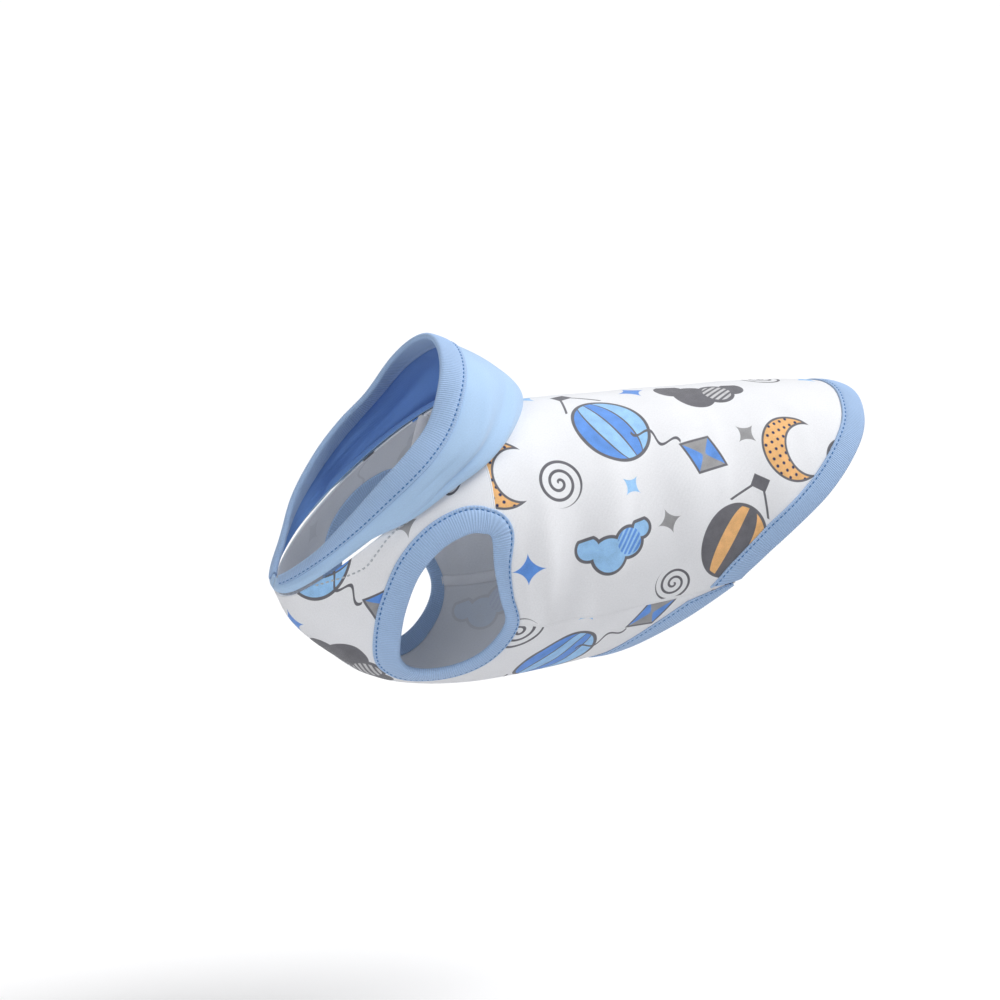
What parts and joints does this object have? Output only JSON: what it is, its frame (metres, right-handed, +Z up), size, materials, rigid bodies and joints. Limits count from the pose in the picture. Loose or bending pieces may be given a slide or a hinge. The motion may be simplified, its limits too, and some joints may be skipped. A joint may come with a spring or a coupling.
{
  "type": "hooded dog tank top",
  "caption": "Sleeveless hooded knit top for a small dog, in its worn form: printed back and chest, plain hood, rib binding on hood, armholes and hems.",
  "frame": {"origin": "inside the back cloth at the withers, on the middle line of the back, where the top lies on the wearer", "axes": "+Z up, the wearer faces -Y, its left side at +X; the spine and the garment's length run along Y"},
  "size_m": [0.099, 0.2651, 0.1482],
  "materials": {
    "white_jersey": "printed cotton jersey, matte",
    "blue_jersey": "plain cotton jersey, matte",
    "blue_rib": "rib knit, matte"
  },
  "bodies": {
    "root": {"back_panel": "white_jersey", "chest_panel": "white_jersey", "hood_left": "blue_jersey", "hood_right": "blue_jersey", "hood_binding": "blue_rib", "armhole_binding_left": "blue_rib", "armhole_binding_right": "blue_rib", "hem_binding_back": "blue_rib", "hem_binding_belly": "blue_rib"}
  },
  "joints": []
}
